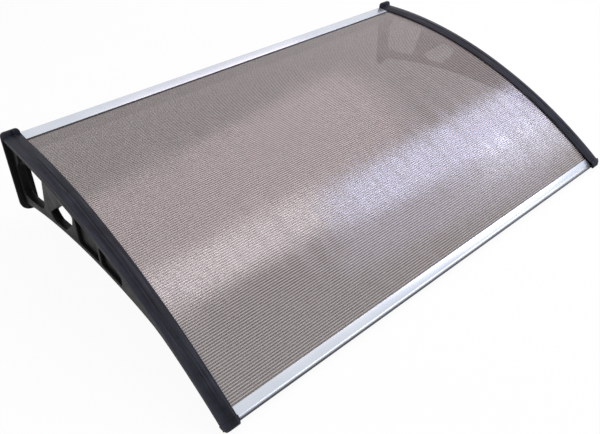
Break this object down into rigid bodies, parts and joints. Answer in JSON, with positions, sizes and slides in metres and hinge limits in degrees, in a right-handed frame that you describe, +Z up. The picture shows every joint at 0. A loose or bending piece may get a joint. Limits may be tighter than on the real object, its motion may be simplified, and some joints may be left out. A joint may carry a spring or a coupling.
{
  "type": "door canopy",
  "caption": "Door canopy with an arched twin-wall polycarbonate sheet held by moulded side brackets and aluminium edge profiles.",
  "frame": {"origin": "on the flat back face of the rear profile, half way along the canopy, in the plane of the wall", "axes": "+X along the wall, +Y into the wall, +Z up; the canopy stands out from the wall towards -Y"},
  "size_m": [1.207, 0.766, 0.2439],
  "materials": {
    "polycarbonate": "smoke-tinted clear twin-wall sheet",
    "moulded_plastic": "satin black",
    "aluminium": "satin anodised",
    "seal_rubber": "matt",
    "screw_steel": "bright zinc plated"
  },
  "bodies": {
    "root": {"twin_wall_sheet": "polycarbonate", "bracket_left": "moulded_plastic", "bracket_right": "moulded_plastic", "rear_profile": "aluminium", "front_profile": "aluminium", "rear_seal": "seal_rubber", "screw_left_rear_lower": "screw_steel", "screw_left_rear_upper": "screw_steel", "screw_left_front": "screw_steel", "screw_right_rear_lower": "screw_steel", "screw_right_rear_upper": "screw_steel", "screw_right_front": "screw_steel"}
  },
  "joints": []
}
